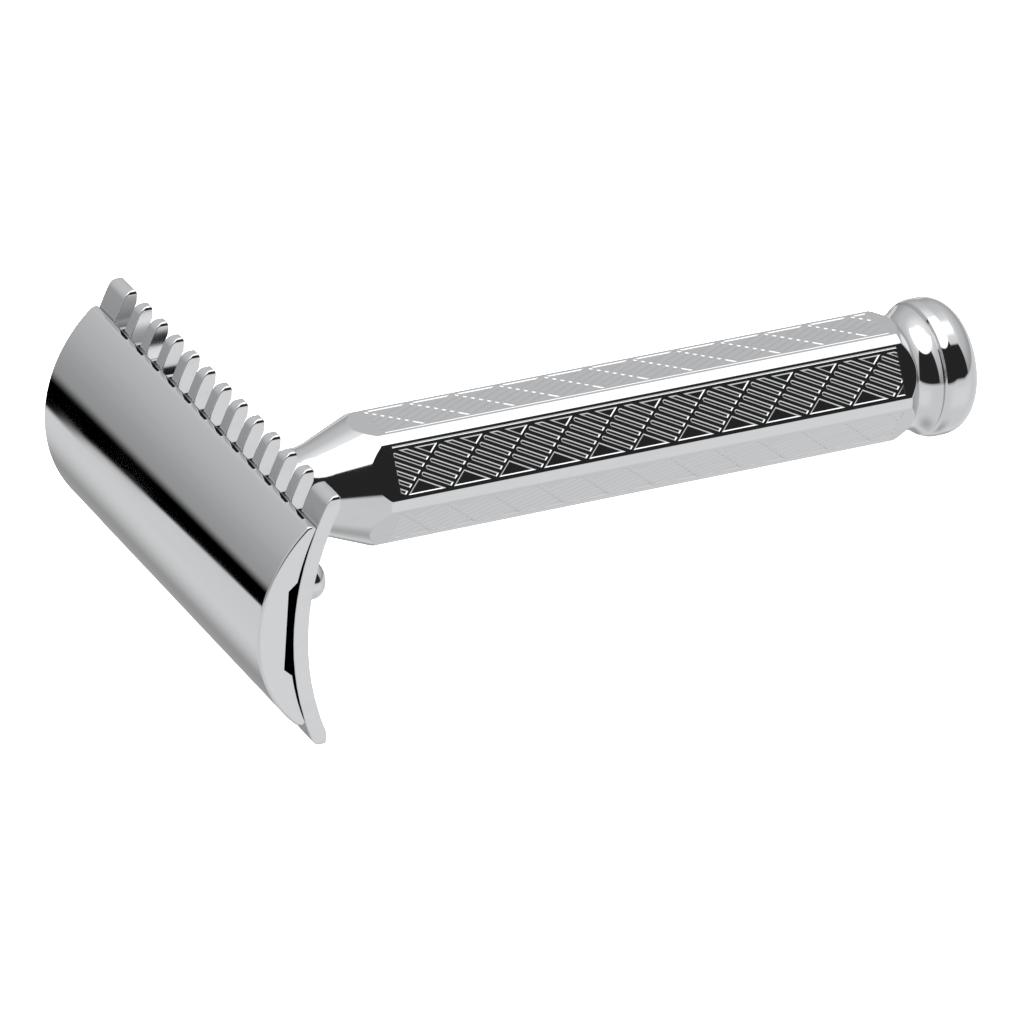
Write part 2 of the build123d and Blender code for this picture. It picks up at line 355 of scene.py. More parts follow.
def make_cap(material):
    """The cap, drawn out along the head, with both ends of its crown rounded over."""
    strokes = cap_outline()
    corners = []
    for number, (points, normals) in enumerate(strokes):
        before = strokes[number - 1][1][-1]
        for i in range(len(points) - 1):
            incoming = before if i == 0 else normals[i]
            on_crown = number in (1, 2, 3) or (number == 4 and i == 0)
            rounding = CAP_END_FILLET if on_crown else CAP_UNDER_ROUNDING
            corners.append((points[i], incoming, normals[i], normals[i + 1], rounding))
    shell = Shell()
    steps = 6
    stations = [(-1, i / steps) for i in range(steps, -1, -1)] + [(1, i / steps) for i in range(steps + 1)]

    def station(side, turn):
        """One section: its points, and the normals at the start and at the end of the side after each."""
        angle = turn * pi / 2
        row = []
        for point, incoming, outgoing, _, rounding in corners:
            mitre = (incoming + outgoing) / (1 + incoming.dot(outgoing))
            spot = point - mitre * rounding * (1 - cos(angle))
            y = side * (HEAD_LENGTH / 2 - rounding * (1 - sin(angle)))
            row.append(shell.point(spot.y, y, spot.x))

        def tilted(normal):
            return Vector((normal.y * cos(angle), side * sin(angle), normal.x * cos(angle)))

        return row, [tilted(corner[2]) for corner in corners], [tilted(corner[3]) for corner in corners]

    rows = [station(side, turn) for side, turn in stations]
    count = len(corners)
    for (row_a, in_a, out_a), (row_b, in_b, out_b) in zip(rows, rows[1:]):
        for i in range(count):
            j = (i + 1) % count
            shell.face([row_a[i], row_a[j], row_b[j], row_b[i]], [in_a[i], out_a[i], out_b[i], in_b[i]])
    for side, row in ((-1, rows[0][0]), (1, rows[-1][0])):
        shell.face(row, [Vector((0, side, 0))] * count)
    shell.build("cap_polished", material, "cap", "head_chrome", "cap")


# ---- thin curved plate: the guard
def plate(shell, rims, front, back, rounding, spots, front_only=None):
    """A plate between the surfaces x = front(z) and x = back(z).

    rims are pairs of flat (y, z) loops, the true edge and the same loop drawn in by rounding. front_only
    names a rim, by its number, that cuts the front surface alone. The back is left open for the caller to
    fill: its loops and its normal are returned.
    """

    def slope(surface, z):
        step = 0.01
        return (surface(z + step) - surface(z - step)) / (2 * step)

    def front_normal(spot):
        return Vector((-1, 0, slope(front, spot[1]))).normalized()

    def back_normal(spot):
        return Vector((1, 0, -slope(back, spot[1]))).normalized()

    steps = 4
    front_loops = []
    back_loops = []
    for number, (edge, inset) in enumerate(rims):
        sides = ((front, front_normal, 1, front_loops), (back, back_normal, -1, back_loops))
        meeting = []
        for surface, normal, way, loops in sides:
            if number == front_only and surface is back:
                continue
            previous = None
            for step in range(steps + 1):
                angle = step / steps * pi / 2
                flat = []
                ring = []
                lean = []
                for true, drawn in zip(edge, inset):
                    true = Vector(true)
                    inward = Vector(drawn) - true
                    thickness = back(true.y) - front(true.y)
                    share = min(1, 0.45 * thickness / rounding)
                    spot = true + inward * share * (1 - sin(angle))
                    outward = -inward.normalized()
                    sunk = way * rounding * share * (1 - cos(angle))
                    flat.append(spot)
                    ring.append(shell.point(surface(spot.y) + sunk, *spot))
                    level = normal(spot)
                    lean.append(level * cos(angle) + Vector((0, outward.x, outward.y)) * sin(angle))
                if previous:
                    shell.bridge(previous[0], previous[1], ring, lean)
                else:
                    loops.append((flat, ring))
                previous = (ring, lean)
            meeting.append(previous)
        if len(meeting) == 2:
            shell.bridge(meeting[0][0], meeting[0][1], meeting[1][0], meeting[1][1])
    fill(shell, front_loops, spots, lambda c: (front(c.y), c.x, c.y), front_normal)
    return back_loops, back_normal


def circle(y, z, radius, count):
    """Points around (y, z)."""
    turns = [2 * pi * i / count for i in range(count)]
    return [(y + radius * cos(t), z + radius * sin(t)) for t in turns]


def guard_front(z):
    """X of the face towards the cap, with the round nose of the comb tips."""
    z = min(abs(z), COMB_HALF_WIDTH)
    bend_x = GUARD_FRONT_X + GUARD_FRONT_RADIUS
    nose_z = COMB_HALF_WIDTH - TIP_FRONT_FILLET
    reach = GUARD_FRONT_RADIUS - TIP_FRONT_FILLET
    nose_x = bend_x - sqrt(reach**2 - nose_z**2)
    if z < nose_z * GUARD_FRONT_RADIUS / reach:
        return bend_x - sqrt(GUARD_FRONT_RADIUS**2 - z**2)
    return nose_x - sqrt(max(0, TIP_FRONT_FILLET**2 - (z - nose_z) ** 2))


def guard_back(z):
    """X of the face towards the handle, with the small heel of the comb tips."""
    z = min(abs(z), COMB_HALF_WIDTH)
    curved = GUARD_BACK_X + GUARD_BACK_RADIUS - sqrt(GUARD_BACK_RADIUS**2 - z**2)
    heel_z = COMB_HALF_WIDTH - TIP_BACK_FILLET
    if z < heel_z:
        return min(0, curved)
    return -TIP_BACK_FILLET + sqrt(max(0, TIP_BACK_FILLET**2 - (z - heel_z) ** 2))


def tip_rows():
    """Heights up a tooth's straight side, closer together where its nose turns."""
    nose_z = COMB_HALF_WIDTH - TIP_FRONT_FILLET
    straight = [GAP_CENTRE_Z + (nose_z - GAP_CENTRE_Z) * i / 9 for i in range(1, 10)]
    return straight + [nose_z + TIP_FRONT_FILLET * sin(radians(a)) for a in range(6, 37, 6)]


def tip_corner(y, side, inset):
    """The round outline corner of a tooth with an edge at y, from its side to its end.

    side is 1 where the tooth lies beyond y, and -1 where it lies short of y.
    """
    radius = TIP_CORNER_RADIUS - inset
    centre_y = y + side * TIP_CORNER_RADIUS
    centre_z = COMB_HALF_WIDTH - TIP_CORNER_RADIUS
    turns = [radians(15 * i) for i in range(7)]
    return [(centre_y - side * radius * cos(t), centre_z + radius * sin(t)) for t in turns]


def comb_loop(inset):
    """The guard's outline from above, drawn in by inset, with its round-bottomed gaps."""
    end_y = HEAD_LENGTH / 2
    rows = tip_rows()
    half = [(end_y - inset, z) for z in (*END_ROWS_Z, *rows)] + tip_corner(end_y, -1, inset)
    radius = GAP_HALF_WIDTH + inset
    turns = [pi * i / 20 for i in range(21)]
    for number in range(GAPS_PER_SIDE):
        gap_y = TOOTH_PITCH * ((GAPS_PER_SIDE - 1) / 2 - number)
        half += reversed(tip_corner(gap_y + GAP_HALF_WIDTH, 1, inset))
        half += [(gap_y + radius, z) for z in reversed(rows)]
        half += [(gap_y + radius * cos(t), GAP_CENTRE_Z - radius * sin(t)) for t in turns]
        half += [(gap_y - radius, z) for z in rows]
        half += tip_corner(gap_y - GAP_HALF_WIDTH, -1, inset)
    half += reversed(tip_corner(-end_y, 1, inset))
    half += [(inset - end_y, z) for z in (*reversed(rows), *END_ROWS_Z[:0:-1])]
    return half + [(-y, -z) for y, z in half]


def nose_rows():
    """Heights up the middle of a tooth, as far as its rounded rim."""
    nose_z = COMB_HALF_WIDTH - TIP_FRONT_FILLET
    over = [nose_z + TIP_FRONT_FILLET * sin(radians(a)) for a in range(40, 90, 4)]
    return tip_rows() + [z for z in over if z < COMB_HALF_WIDTH - GUARD_ROUNDING - 0.02]


def guard_spots():
    """Points inside the plate, so that its curve shows between the edges."""
    holes = [(0, BOSS_RADIUS), (PIN_Y, PIN_HOLE_RADIUS), (-PIN_Y, PIN_HOLE_RADIUS)]
    spots = []
    for row in range(-9, 10):
        z = row * 0.75
        for column in range(-42, 43):
            y = column * 0.5
            if all(hypot(y - hole_y, z) > radius + 0.35 for hole_y, radius in holes):
                spots.append((y, z))
    for number in range(GAPS_PER_SIDE - 1):
        y = TOOTH_PITCH * ((GAPS_PER_SIDE - 2) / 2 - number)
        for side in (-1, 1):
            spots += [(y + shift, side * z) for z in nose_rows() for shift in (-0.3, 0, 0.3)]
    for lobe in (-1, 1):
        for side in (-1, 1):
            for y in LOBE_SPOTS_Y:
                spots += [(lobe * y, side * z) for z in nose_rows()]
    return spots


def make_guard(material):
    """The comb plate with its three holes, and the boss behind the middle one."""
    shell = Shell()
    soft = GUARD_ROUNDING
    count = 48
    rims = [(comb_loop(0), comb_loop(soft))]
    for y, radius in ((PIN_Y, PIN_HOLE_RADIUS), (-PIN_Y, PIN_HOLE_RADIUS), (0, STUD_HOLE_RADIUS)):
        rims.append((circle(y, 0, radius, count), circle(y, 0, radius + soft, count)))
    stud_rim = len(rims) - 1
    back_loops, back_normal = plate(
        shell, rims, guard_front, guard_back, soft, guard_spots(), front_only=stud_rim
    )
    angles = [2 * pi * i / count for i in range(count)]
    radial = [Vector((0, cos(a), sin(a))) for a in angles]
    backward = [TOWARDS_KNOB] * count

    def ring(radius, x):
        return [shell.point(x, *spot) for spot in circle(0, 0, radius, count)]

    foot = [shell.point(guard_back(z), y, z) for y, z in circle(0, 0, BOSS_RADIUS, count)]
    wall = ring(BOSS_RADIUS, BOSS_BACK_X - soft)
    top = ring(BOSS_RADIUS - soft, BOSS_BACK_X)
    lip = ring(STUD_HOLE_RADIUS + soft, BOSS_BACK_X)
    mouth = ring(STUD_HOLE_RADIUS, BOSS_BACK_X - soft)
    bore = ring(STUD_HOLE_RADIUS, guard_front(0) + 2 * soft)
    inward = [-n for n in radial]
    shell.bridge(foot, radial, wall, radial)
    shell.bridge(wall, radial, top, backward)
    shell.bridge(top, backward, lip, backward)
    shell.bridge(lip, backward, mouth, inward)
    shell.bridge(mouth, inward, bore, inward)
    back_loops.append((circle(0, 0, BOSS_RADIUS, count), foot))
    fill(shell, back_loops, guard_spots(), lambda c: (guard_back(c.y), c.x, c.y), back_normal)
    shell.build("guard_polished", material, "guard", "head_chrome", "guard_plate")


# ---- grip: neck, flare and engraved hexagon
def clip(polygon, point, normal):
    """The part of a convex polygon on the side of a line that its normal points to."""
    kept = []
    point = Vector(point)
    normal = Vector(normal)
    for i, here in enumerate(polygon):
        before = polygon[i - 1]
        d_before = (before - point).dot(normal)
        d_here = (here - point).dot(normal)
        if (d_before < 0) != (d_here < 0):
            kept.append(before + (here - before) * d_before / (d_before - d_here))
        if d_here >= 0:
            kept.append(here)
    return kept


def parted(polygon):
    """Drops points that all but touch the one before."""
    return [p for i, p in enumerate(polygon) if (p - polygon[i - 1]).length > 0.02]


def drawn_in(polygon, distance):
    """A convex polygon made smaller by distance: for each of its corners, the new corner that faces it.

    A side too short to last leaves its two corners facing one point. None if nothing is left.
    """
    sides = []
    for i, corner in enumerate(polygon):
        along = (corner - polygon[i - 1]).normalized()
        sides.append((corner + Vector((-along.y, along.x)) * distance, along))

    def crossing(first, second):
        (start, along), (end, other) = sides[first], sides[second]
        bend = along.cross(other)
        return None if abs(bend) < 1e-6 else start + along * ((end - start).cross(other) / bend)

    lasting = list(range(len(polygon)))
    while len(lasting) > 2:
        corners = [crossing(lasting[k - 1], side) for k, side in enumerate(lasting)]
        if None in corners:
            return None
        corners = corners[1:] + corners[:1]
        runs = [(corners[k] - corners[k - 1]).dot(sides[side][1]) for k, side in enumerate(lasting)]
        if min(runs) > 1e-5:
            return [corners[sum(side <= i for side in lasting) - 1] for i in range(len(polygon))]
        lasting.pop(runs.index(min(runs)))
    return None


def engraved_cells(first_land_w):
    """The recesses of one face, as convex polygons of (w, s) anticlockwise, and the frame line above them.

    Slanting lands part the face into cells. Each cell has a row of round-ended slots and a wider recess
    below and above them, cut off by the panel's edges.
    """
    slot = radians(SLOT_ANGLE)
    up_left = Vector((-cos(slot), sin(slot)))
    across = Vector((sin(slot), cos(slot)))
    land = Vector((1, 1)).normalized()
    half_land = LAND_WIDTH / 2 * sqrt(2)
    reach = LAND_PERIOD - 2 * half_land
    steepness = cos(slot) + sin(slot)
    corner = SLOT_HALF_WIDTH / steepness * Vector((1, 1))
    run = (reach - SLOT_HALF_WIDTH * sqrt(2)) / steepness
    turns = [pi * i / 8 for i in range(9)]
    round_end = [(across * cos(t) + up_left * sin(t)) * SLOT_HALF_WIDTH for t in turns]
    past_panel = 4
    shapes = []
    cells = ceil((PANEL_END_W - PANEL_START_W) / LAND_PERIOD) + 2
    for cell in range(-2, cells):
        left_w = first_land_w + cell * LAND_PERIOD + half_land
        right_w = left_w + reach
        for number in range(-1, SLOTS_PER_CELL + 1):
            rise = SLOT_FIRST_S + number * SLOT_STEP_S
            tip = Vector((right_w + rise, PANEL_LOW_S + rise))
            far = tip + up_left * 2 * reach
            side = across * SLOT_HALF_WIDTH
            if number == -1:
                shape = [tip + corner, far + side, far - across * past_panel, tip - corner * 20]
            elif number == SLOTS_PER_CELL:
                shape = [tip - corner, tip + corner * 20, far + across * past_panel, far - side]
            else:
                centre = tip + up_left * run
                shape = [tip - corner, tip + corner] + [centre + bend for bend in round_end]
            shape = clip(shape, (left_w, PANEL_LOW_S), (land.y, -land.x))
            shape = clip(shape, (0, PANEL_LOW_S), (0, 1))
            shape = clip(shape, (0, PANEL_HIGH_S), (0, -1))
            shape = clip(shape, (PANEL_START_W, 0), (1, 0))
            shape = clip(shape, (PANEL_END_W, 0), (-1, 0))
            shapes.append(parted(shape))
    s_low = FRAME_LINE_S - FRAME_LINE_WIDTH / 2
    s_high = FRAME_LINE_S + FRAME_LINE_WIDTH / 2
    low_edge = [Vector((w, s_low)) for w in (PANEL_START_W, PANEL_END_W)]
    high_edge = [Vector((w, s_high)) for w in (PANEL_END_W, PANEL_START_W)]
    return shapes + [low_edge + high_edge]


def engrave(shell, loop, first_land_w, mirrored, place, normal, across):
    """Fills one face of the grip inside loop and cuts its recesses, which have sloped walls."""
    sign = -1 if mirrored else 1
    loops = [loop]
    for shape in engraved_cells(first_land_w):
        if len(shape) < 3:
            continue
        for share in ENGRAVING_SHARES:
            wall = ENGRAVING_WALL * share
            floor = drawn_in(shape, wall)
            if floor is not None:
                break
        if floor is None:
            continue
        depth = ENGRAVING_DEPTH * share
        rim = [Vector((p.x, sign * p.y)) for p in shape]
        bed = [Vector((p.x, sign * p.y)) for p in floor]
        rim_index = [shell.point(*place(p, 0)) for p in rim]
        bed_index = []
        for i, p in enumerate(bed):
            same = [bed_index[j] for j in range(i) if bed[j] == p]
            bed_index.append(same[0] if same else shell.point(*place(p, depth)))
        for i in range(len(rim)):
            side = (rim[i] - rim[i - 1]).normalized()
            inward = Vector((-side.y, side.x)) * sign
            slant = normal * wall + (TOWARDS_KNOB * inward.x + across * inward.y) * depth
            wall_corners = [rim_index[i - 1], rim_index[i], bed_index[i], bed_index[i - 1]]
            shell.face(wall_corners, [slant.normalized()] * 4)
        shell.face(bed_index, [normal] * len(bed_index))
        loops.append((rim, rim_index))
    fill(shell, loops, [], lambda c: place(c, 0), lambda c: normal)


def make_grip(material):
    """The bored handle: a round neck that flares into a hexagon with bevelled edges and engraved faces.

    It is built from rings of the same columns. A column is its side's number, its turn about the axis,
    its distance from the axis where it runs along the hexagon, and its shift across its side.
    """
    shell = Shell()
    cut = BEVEL_WIDTH / (2 * sin(radians(60)))
    face_side = 2 * FACE_DISTANCE * tan(radians(30))
    face_half = face_side / 2 - cut
    bevel_distance = FACE_DISTANCE / cos(radians(30)) - cut * cos(radians(60))
    bevel_half = BEVEL_WIDTH / 2
    edge_radius = hypot(FACE_DISTANCE, face_half)
    taper_slope = (edge_radius - GRIP_END_RADIUS) / (GRIP_END_X - GRIP_TAPER_X)
    soft = EDGE_SOFTNESS

    def side_angle(number):
        return radians(MIDDLE_FACE_ANGLE + 30 * number)

    columns = []
    for number in range(12):
        is_face = number % 2 == 0
        angle = side_angle(number)
        distance = FACE_DISTANCE if is_face else bevel_distance
        half = (face_half if is_face else bevel_half) - soft
        steps = 28 if is_face else 6
        for i in range(steps + 1):
            shift = half * (2 * i / steps - 1)
            turn = angle + atan(shift / distance)
            columns.append((number, turn, hypot(distance, shift), shift))

    def around(turn):
        return Vector((0, -cos(turn), sin(turn)))

    def ring(radius_of, x_of):
        spots = [(x_of(c), radius_of(c) * around(c[1])) for c in columns]
        return [shell.point(x, *spot.yz) for x, spot in spots]

    def leaning(along):
        return [(Vector((along.x, 0, 0)) + along.y * around(c[1])).normalized() for c in columns]

    flare_lean = Vector((-FLARE_SLOPE, 1)).normalized()
    flare_angle = degrees(atan(FLARE_SLOPE))
    foot_x = FLARE_END_X - (edge_radius - NECK_RADIUS) / FLARE_SLOPE
    bend_start = foot_x - FLARE_FOOT_FILLET * tan(radians(flare_angle / 2))
    neck = [
        line((NECK_START_X, NECK_RADIUS - NECK_CHAMFER), (NECK_START_X + NECK_CHAMFER, NECK_RADIUS)),
        line((NECK_START_X + NECK_CHAMFER, NECK_RADIUS), (bend_start, NECK_RADIUS)),
        arc((bend_start, NECK_RADIUS + FLARE_FOOT_FILLET), FLARE_FOOT_FILLET, -90, -90 + flare_angle, 12),
    ]
    start = last = ring(lambda c: NECK_RADIUS - NECK_CHAMFER, lambda c: NECK_START_X)
    for points, normals in neck:
        for i in range(1, len(points)):
            here = points[i]
            following = ring(lambda c: here.y, lambda c: here.x)
            shell.bridge(last, leaning(normals[i - 1]), following, leaning(normals[i]))
            last = following

    def flare_x(radius):
        return FLARE_END_X - (edge_radius - radius) / FLARE_SLOPE

    def taper_x(radius):
        return GRIP_TAPER_X + (edge_radius - radius) / taper_slope

    def flare_radius(x):
        return edge_radius - (FLARE_END_X - x) * FLARE_SLOPE

    cone = leaning(flare_lean)
    bend_end = neck[-1][0][-1].x

    def up_flare(column, share):
        return bend_end + (flare_x(column[2]) - soft - bend_end) * share

    for share in (0.35, 0.7, 1):
        following = ring(lambda c: flare_radius(up_flare(c, share)), lambda c: up_flare(c, share))
        shell.bridge(last, cone, following, cone)
        last = following
    hexagon = [around(side_angle(column[0])) for column in columns]
    left = ring(lambda c: c[2], lambda c: flare_x(c[2]) + soft)
    right = ring(lambda c: c[2], lambda c: taper_x(c[2]) - soft)
    shell.bridge(last, cone, left, hexagon)

    count = len(columns)
    for i in range(count):
        j = (i + 1) % count
        if columns[i][0] != columns[j][0] or columns[i][0] % 2 == 1:
            corners = [left[i], left[j], right[j], right[i]]
            shell.face(corners, [hexagon[i], hexagon[j], hexagon[j], hexagon[i]])

    for number in range(0, 12, 2):
        angle = side_angle(number)
        normal = around(angle)
        across = Vector((0, sin(angle), cos(angle)))
        mine = [i for i in range(count) if columns[i][0] == number]
        order = [right[i] for i in reversed(mine)] + [left[i] for i in mine]
        flat = [(shell.points[right[i]].x, columns[i][3]) for i in reversed(mine)]
        flat += [(shell.points[left[i]].x, columns[i][3]) for i in mine]

        def place(spot, depth, normal=normal, across=across):
            here = normal * (FACE_DISTANCE - depth) + across * spot.y
            return spot.x, here.y, here.z

        odd = number // 2 % 2
        engrave(shell, (flat, order), LAND_START_W[odd], odd == 1, place, normal, across)

    def down_taper(column):
        return taper_x(column[2]) + soft

    taper = leaning(Vector((taper_slope, 1)).normalized())
    taper_start = ring(lambda c: edge_radius - (down_taper(c) - GRIP_TAPER_X) * taper_slope, down_taper)
    end = ring(lambda c: GRIP_END_RADIUS, lambda c: GRIP_END_X)
    shell.bridge(right, hexagon, taper_start, taper)
    shell.bridge(taper_start, taper, end, taper)

    drill_x = HOLLOW_START_X - (HOLLOW_RADIUS - INSERT_BORE) * DRILL_POINT_SLOPE
    inside = [
        (GRIP_END_X, GRIP_END_RADIUS),
        (GRIP_END_X, HOLLOW_RADIUS),
        (HOLLOW_START_X, HOLLOW_RADIUS),
        (drill_x, INSERT_BORE),
        (INSERT_END_X, INSERT_BORE),
        (INSERT_END_X, INSERT_RADIUS),
        (NECK_START_X, INSERT_RADIUS),
        (NECK_START_X, NECK_RADIUS - NECK_CHAMFER),
    ]
    last = end
    for number in range(1, len(inside)):
        lean = leaning(line(inside[number - 1], inside[number])[1][0])
        here = inside[number]
        following = start if number == len(inside) - 1 else ring(lambda c: here[1], lambda c: here[0])
        shell.bridge(last, lean, following, lean)
        last = following
    shell.build("grip_engraved", material, "handle", "handle_chrome", "handle_grip")


# ---- turned pieces
def make_knob(material):
    """Waisted collar, a thin groove and a domed knob, with the spigot that is pressed into the grip."""
    shell = Shell()
    dome_x = KNOB_END_X - KNOB_DOME_RADIUS
    corner_height = KNOB_RADIUS - KNOB_CORNER_RADIUS
    corner_x = dome_x + sqrt((KNOB_DOME_RADIUS - KNOB_CORNER_RADIUS) ** 2 - corner_height**2)
    turn = degrees(atan2(corner_height, corner_x - dome_x))
    shoulder = tangent_arc((KNOB_CROWN_X, KNOB_RADIUS), Vector((-1, 0)), KNOB_START, 8)
    strokes = [
        line((SPIGOT_START_X, 0), (SPIGOT_START_X, HOLLOW_RADIUS)),
        line((SPIGOT_START_X, HOLLOW_RADIUS), (GRIP_END_X, HOLLOW_RADIUS)),
        line((GRIP_END_X, HOLLOW_RADIUS), (GRIP_END_X, GRIP_END_RADIUS)),
        three_point_arc((GRIP_END_X, GRIP_END_RADIUS), COLLAR_WAIST, COLLAR_END, 24),
        line(COLLAR_END, GROOVE),
        line(GROOVE, KNOB_START),
        (shoulder[0][::-1], [-n for n in shoulder[1][::-1]]),
        line((KNOB_CROWN_X, KNOB_RADIUS), (corner_x, KNOB_RADIUS)),
        arc((corner_x, corner_height), KNOB_CORNER_RADIUS, 90, turn, 28),
        arc((dome_x, 0), KNOB_DOME_RADIUS, turn, 0, 28),
    ]
    lathe(shell, strokes, 160)
    shell.build("knob_turned", material, "handle", "handle_chrome", "end_knob")


def arc_about(centre, start, end, leftward, steps):
    """A round stroke about centre from start to end, which turns to the left or to the right."""
    first = degrees(atan2(*(start - centre).yx))
    last = degrees(atan2(*(end - centre).yx))
    if leftward and last < first:
        last += 360
    if not leftward and last > first:
        last -= 360
    return arc(centre, (start - centre).length, first, last, steps)


def tangent_arc(start, tangent, end, steps):
    """A round stroke that leaves start along tangent and ends at end."""
    start = Vector(start)
    chord = Vector(end) - start
    left = Vector((-tangent.y, tangent.x))
    offset = chord.length_squared / (2 * chord.dot(left))
    centre = start + left * offset
    return arc_about(centre, start, Vector(end), offset > 0, steps)


def three_point_arc(start, middle, end, steps):
    """A round stroke through three points."""
    a = Vector(start)
    b = Vector(middle)
    c = Vector(end)
    four_areas = 2 * ((b - a).x * (c - a).y - (b - a).y * (c - a).x)
    b2 = (b - a).length_squared
    c2 = (c - a).length_squared
    centre = a + Vector(((c - a).y * b2 - (b - a).y * c2, (b - a).x * c2 - (c - a).x * b2)) / four_areas
    return arc_about(centre, a, c, four_areas > 0, steps)


def thread_wave(x, turn):
    """0 on a thread's crest and 1 in its root, for a right-hand thread."""
    phase = (x / THREAD_PITCH - turn / (2 * pi)) % 1
    return min(1, max(0, 2.6 * abs(phase - 0.5) - 0.15))


def threaded(shell, start_x, end_x, radius_of, rows, way):
    """Builds a threaded wall and gives its first ring, its last ring and their angles.

    way is 1 for a wall that faces outwards and -1 for one that faces the axis.
    """
    angles = [2 * pi * i / 48 for i in range(48)]
    rings = []
    for row in range(rows + 1):
        x = start_x + (end_x - start_x) * row / rows
        rings.append([shell.point(x, radius_of(x, a) * cos(a), radius_of(x, a) * sin(a)) for a in angles])
    nudge = 0.01

    def normals(row):
        x = start_x + (end_x - start_x) * row / rows
        found = []
        for a in angles:
            steep = (radius_of(x + nudge, a) - radius_of(x - nudge, a)) / (2 * nudge)
            found.append(Vector((-steep, cos(a), sin(a))).normalized() * way)
        return found

    for row in range(rows):
        shell.bridge(rings[row], normals(row), rings[row + 1], normals(row + 1))
    return rings[0], rings[-1], angles


def make_stud(material):
    """The threaded stud, pressed into the cap, with a chamfered end."""
    shell = Shell()

    def radius(x, turn):
        fade = min(1, max(0, (x - STUD_THREAD_START_X) / THREAD_PITCH))
        end = STUD_RADIUS - max(0, x - (STUD_END_X - STUD_CHAMFER))
        return min(end, STUD_RADIUS - THREAD_DEPTH * fade * thread_wave(x, turn))

    first, last, angles = threaded(shell, STUD_START_X, STUD_END_X, radius, 230, 1)
    shell.face(first, [TOWARDS_CAP] * len(angles))
    shell.face(last, [TOWARDS_KNOB] * len(angles))
    shell.build("stud_threaded", material, "cap", "stud_steel", "threaded_stud")


def make_insert(material):
    """The threaded bush in the neck."""
    shell = Shell()

    def bore(x, turn):
        from_end = min(x - INSERT_START_X, INSERT_END_X - x)
        thread = INSERT_THREAD_DEPTH * (1 - thread_wave(x, turn))
        open_end = max(0, INSERT_LEAD_IN - from_end)
        return min(INSERT_RADIUS - INSERT_RIM, INSERT_BORE + STUD_CLEARANCE + thread + open_end)

    first, last, angles = threaded(shell, INSERT_START_X, INSERT_END_X, bore, 170, -1)
    rims = []
    for x in (INSERT_START_X, INSERT_END_X):
        rims.append([shell.point(x, INSERT_RADIUS * cos(a), INSERT_RADIUS * sin(a)) for a in angles])
    outward = [Vector((0, cos(a), sin(a))) for a in angles]
    forward = [TOWARDS_CAP] * len(angles)
    backward = [TOWARDS_KNOB] * len(angles)
    shell.bridge(rims[0], outward, rims[1], outward)
    shell.bridge(first, forward, rims[0], forward)
    shell.bridge(last, backward, rims[1], backward)
    shell.build("insert_threaded", material, "handle", "insert_brass", "thread_insert")


def make_pin(material, name, y, node):
    """A locating pin with a domed free end, beside the handle's axis."""
    shell = Shell()
    dome_x = PIN_END_X - PIN_DOME
    flat_radius = PIN_RADIUS - PIN_DOME
    strokes = [
        line((PIN_START_X, 0), (PIN_START_X, PIN_RADIUS)),
        line((PIN_START_X, PIN_RADIUS), (dome_x, PIN_RADIUS)),
        arc((dome_x, flat_radius), PIN_DOME, 90, 0, 12),
        line((PIN_END_X, flat_radius), (PIN_END_X, 0)),
    ]
    lathe(shell, strokes, 64)
    for point in shell.points:
        point.y += y
    shell.build(name, material, "cap", "stud_steel", node)


# ---- materials
CHROME_TINT = (0.56, 0.565, 0.575, 1)
STEEL_TINT = (0.62, 0.61, 0.59, 1)
BRASS_TINT = (0.72, 0.52, 0.25, 1)
CLOUD_SCALE = 90
MOP_LINE_SCALE = 1000
MOP_LINE_DEPTH = 0.02
WEAR_WIDTH = 0.12
WEAR_ROUGHNESS = 0.12


class Nodes:
    """Short ways to add and join shader nodes."""

    def __init__(self, tree):
        self.tree = tree

    def add(self, kind, **settings):
        """A new node with some of its settings."""
        node = self.tree.nodes.new("ShaderNode" + kind)
        for key, value in settings.items():
            setattr(node, key, value)
        return node

    def join(self, output, target):
        """Links an output to an input, or sets the input to a plain value."""
        if hasattr(output, "is_output"):
            self.tree.links.new(output, target)
        else:
            target.default_value = output

    def math(self, operation, *inputs):
        """The result of a sum on nodes or numbers."""
        node = self.add("Math", operation=operation)
        for value, target in zip(inputs, node.inputs):
            self.join(value, target)
        return node.outputs[0]

    def ramp(self, value, from_low, from_high, to_low=0.0, to_high=1.0):
        """value carried smoothly from one range to another, held at its ends."""
        node = self.add("MapRange", interpolation_type="SMOOTHSTEP")
        for item, target in zip((value, from_low, from_high, to_low, to_high), node.inputs):
            self.join(item, target)
        return node.outputs[0]

    def noise(self, vector, scale, detail):
        """Soft noise from 0 to 1."""
        node = self.add("TexNoise")
        self.join(vector, node.inputs["Vector"])
        node.inputs["Scale"].default_value = scale
        node.inputs["Detail"].default_value = detail
        return node.outputs["Fac"]

    def stretched(self, scale):
        """Object coordinates, scaled so that a noise over them can draw lines, and turned by the tilt."""
        spot = self.add("TexCoord")
        mapping = self.add("Mapping")
        mapping.inputs["Rotation"].default_value = (0, -tilt, 0)
        mapping.inputs["Scale"].default_value = scale
        self.tree.links.new(spot.outputs["Object"], mapping.inputs["Vector"])
        return mapping.outputs[0]


